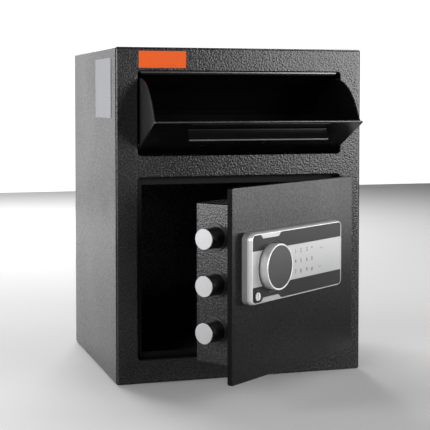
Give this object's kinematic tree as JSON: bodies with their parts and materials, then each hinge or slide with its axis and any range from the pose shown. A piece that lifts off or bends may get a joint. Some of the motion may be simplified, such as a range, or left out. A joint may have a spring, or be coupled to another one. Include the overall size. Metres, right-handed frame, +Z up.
{
  "type": "drop safe",
  "caption": "Steel drop safe with a tilting deposit hopper above a hinged door, a keypad lock with a knob, sliding round bolts and an inner lock case.",
  "frame": {"origin": "middle of the cabinet's base, on the floor", "axes": "+X to the right of someone facing the safe, +Y from its front to its back, +Z up"},
  "size_m": [0.3505, 0.4844, 0.45],
  "materials": {
    "textured_black": "black textured powder coat",
    "satin_black": "black satin coat",
    "chrome": "polished",
    "silver": "silver paint on moulded plastic",
    "gloss_black": "gloss black film",
    "zinc": "zinc plated",
    "nylon": "moulded",
    "rubber": "matt",
    "felt": "felt",
    "board_green": "solder mask",
    "cell_wrap": "shrink wrap",
    "orange": "printed film",
    "white": "printed film",
    "red": "moulded"
  },
  "bodies": {
    "cabinet": {"body_wrap": "textured_black", "front_panel": "textured_black", "rear_panel": "textured_black", "door_stop_frame": "textured_black", "floor_mat": "felt", "hopper_baffle": "textured_black", "hopper_open_stop": "rubber", "front_label": "orange", "side_label": "white", "hopper_bracket_left": "textured_black", "hopper_bracket_right": "textured_black", "hopper_bush_left": "nylon", "hopper_bush_right": "nylon", "hinge_bracket_lower": "textured_black", "hinge_bracket_upper": "textured_black"},
    "hinge_bushes": {"hinge_bush_lower": "nylon", "hinge_bush_upper": "nylon"},
    "hopper": {"hopper_front": "satin_black", "hopper_pull": "satin_black", "hopper_chute": "satin_black", "hopper_side_left": "satin_black", "hopper_side_right": "satin_black", "hopper_pin_left": "zinc", "hopper_pin_right": "zinc"},
    "door": {"door_plate": "satin_black", "lock_case": "textured_black", "lock_case_cover": "textured_black", "hinge_arm_lower": "textured_black", "hinge_arm_upper": "textured_black", "hinge_pin_lower": "zinc", "hinge_pin_upper": "zinc", "cover_screw_upper": "zinc", "cover_screw_lower": "zinc", "guide_post_lower": "zinc", "guide_post_upper": "zinc", "keypad_housing": "silver", "keypad_inlay_upper": "gloss_black", "keypad_inlay_lower": "gloss_black", "knob_collar": "nylon", "circuit_board": "board_green", "key_cylinder": "nylon", "solenoid_body": "zinc", "battery_box": "nylon", "battery_1": "cell_wrap", "battery_2": "cell_wrap", "battery_3": "cell_wrap", "battery_4": "cell_wrap", "reset_switch": "nylon"},
    "bolts": {"bolt_top": "chrome", "bolt_middle": "chrome", "bolt_bottom": "chrome", "bolt_carriage": "zinc"},
    "knob": {"knob": "silver", "knob_cap": "gloss_black", "spindle": "zinc", "bolt_cam": "zinc"},
    "key": {"key_plug": "chrome"},
    "plunger": {"solenoid_plunger": "zinc"},
    "button": {"reset_button": "red"},
    "battery_lid": {"battery_lid": "nylon"}
  },
  "joints": [
    {"name": "door_final_close", "type": "hinge", "parent": "cabinet", "child": "hinge_bushes", "pos_m": [0.167, -0.136, 0.15], "axis": [0, 0, 1], "range_deg": [-10, 0]},
    {"name": "door_swing", "type": "hinge", "parent": "hinge_bushes", "child": "door", "pos_m": [0.167, -0.136, 0.15], "axis": [0, 0, 1], "range_deg": [-26.5, 64]},
    {"name": "hopper_tilt", "type": "hinge", "parent": "cabinet", "child": "hopper", "pos_m": [0, -0.1417, 0.3194], "axis": [1, 0, 0], "range_deg": [-66.5, 0]},
    {"name": "bolt_slide", "type": "slide", "parent": "door", "child": "bolts", "axis": [0.8039, 0.5948, 0], "range_m": [0, 0.0224]},
    {"name": "knob_turn", "type": "hinge", "parent": "door", "child": "knob", "pos_m": [-0.02001, -0.2918, 0.174], "axis": [-0.5948, 0.8039, 0], "range_deg": [0, 90]},
    {"name": "key_turn", "type": "hinge", "parent": "door", "child": "key", "pos_m": [-0.04694, -0.31172, 0.1404], "axis": [-0.5948, 0.8039, 0], "range_deg": [0, 90]},
    {"name": "plunger_slide", "type": "slide", "parent": "door", "child": "plunger", "axis": [0, 0, -1], "range_m": [0, 0.005]},
    {"name": "button_press", "type": "slide", "parent": "door", "child": "button", "axis": [0.5948, -0.8039, 0], "range_m": [0, 0.002], "stiffness_N_per_m": 200, "springref_m": -0.002},
    {"name": "battery_lid_swing", "type": "hinge", "parent": "door", "child": "battery_lid", "pos_m": [0.05238, -0.16098, 0.1248], "axis": [-0.8039, -0.5948, 0], "range_deg": [0, 95]}
  ],
  "couplings": [
    {"joint": "knob_turn", "follows": "bolt_slide", "rad_per_m": 70.12}
  ]
}
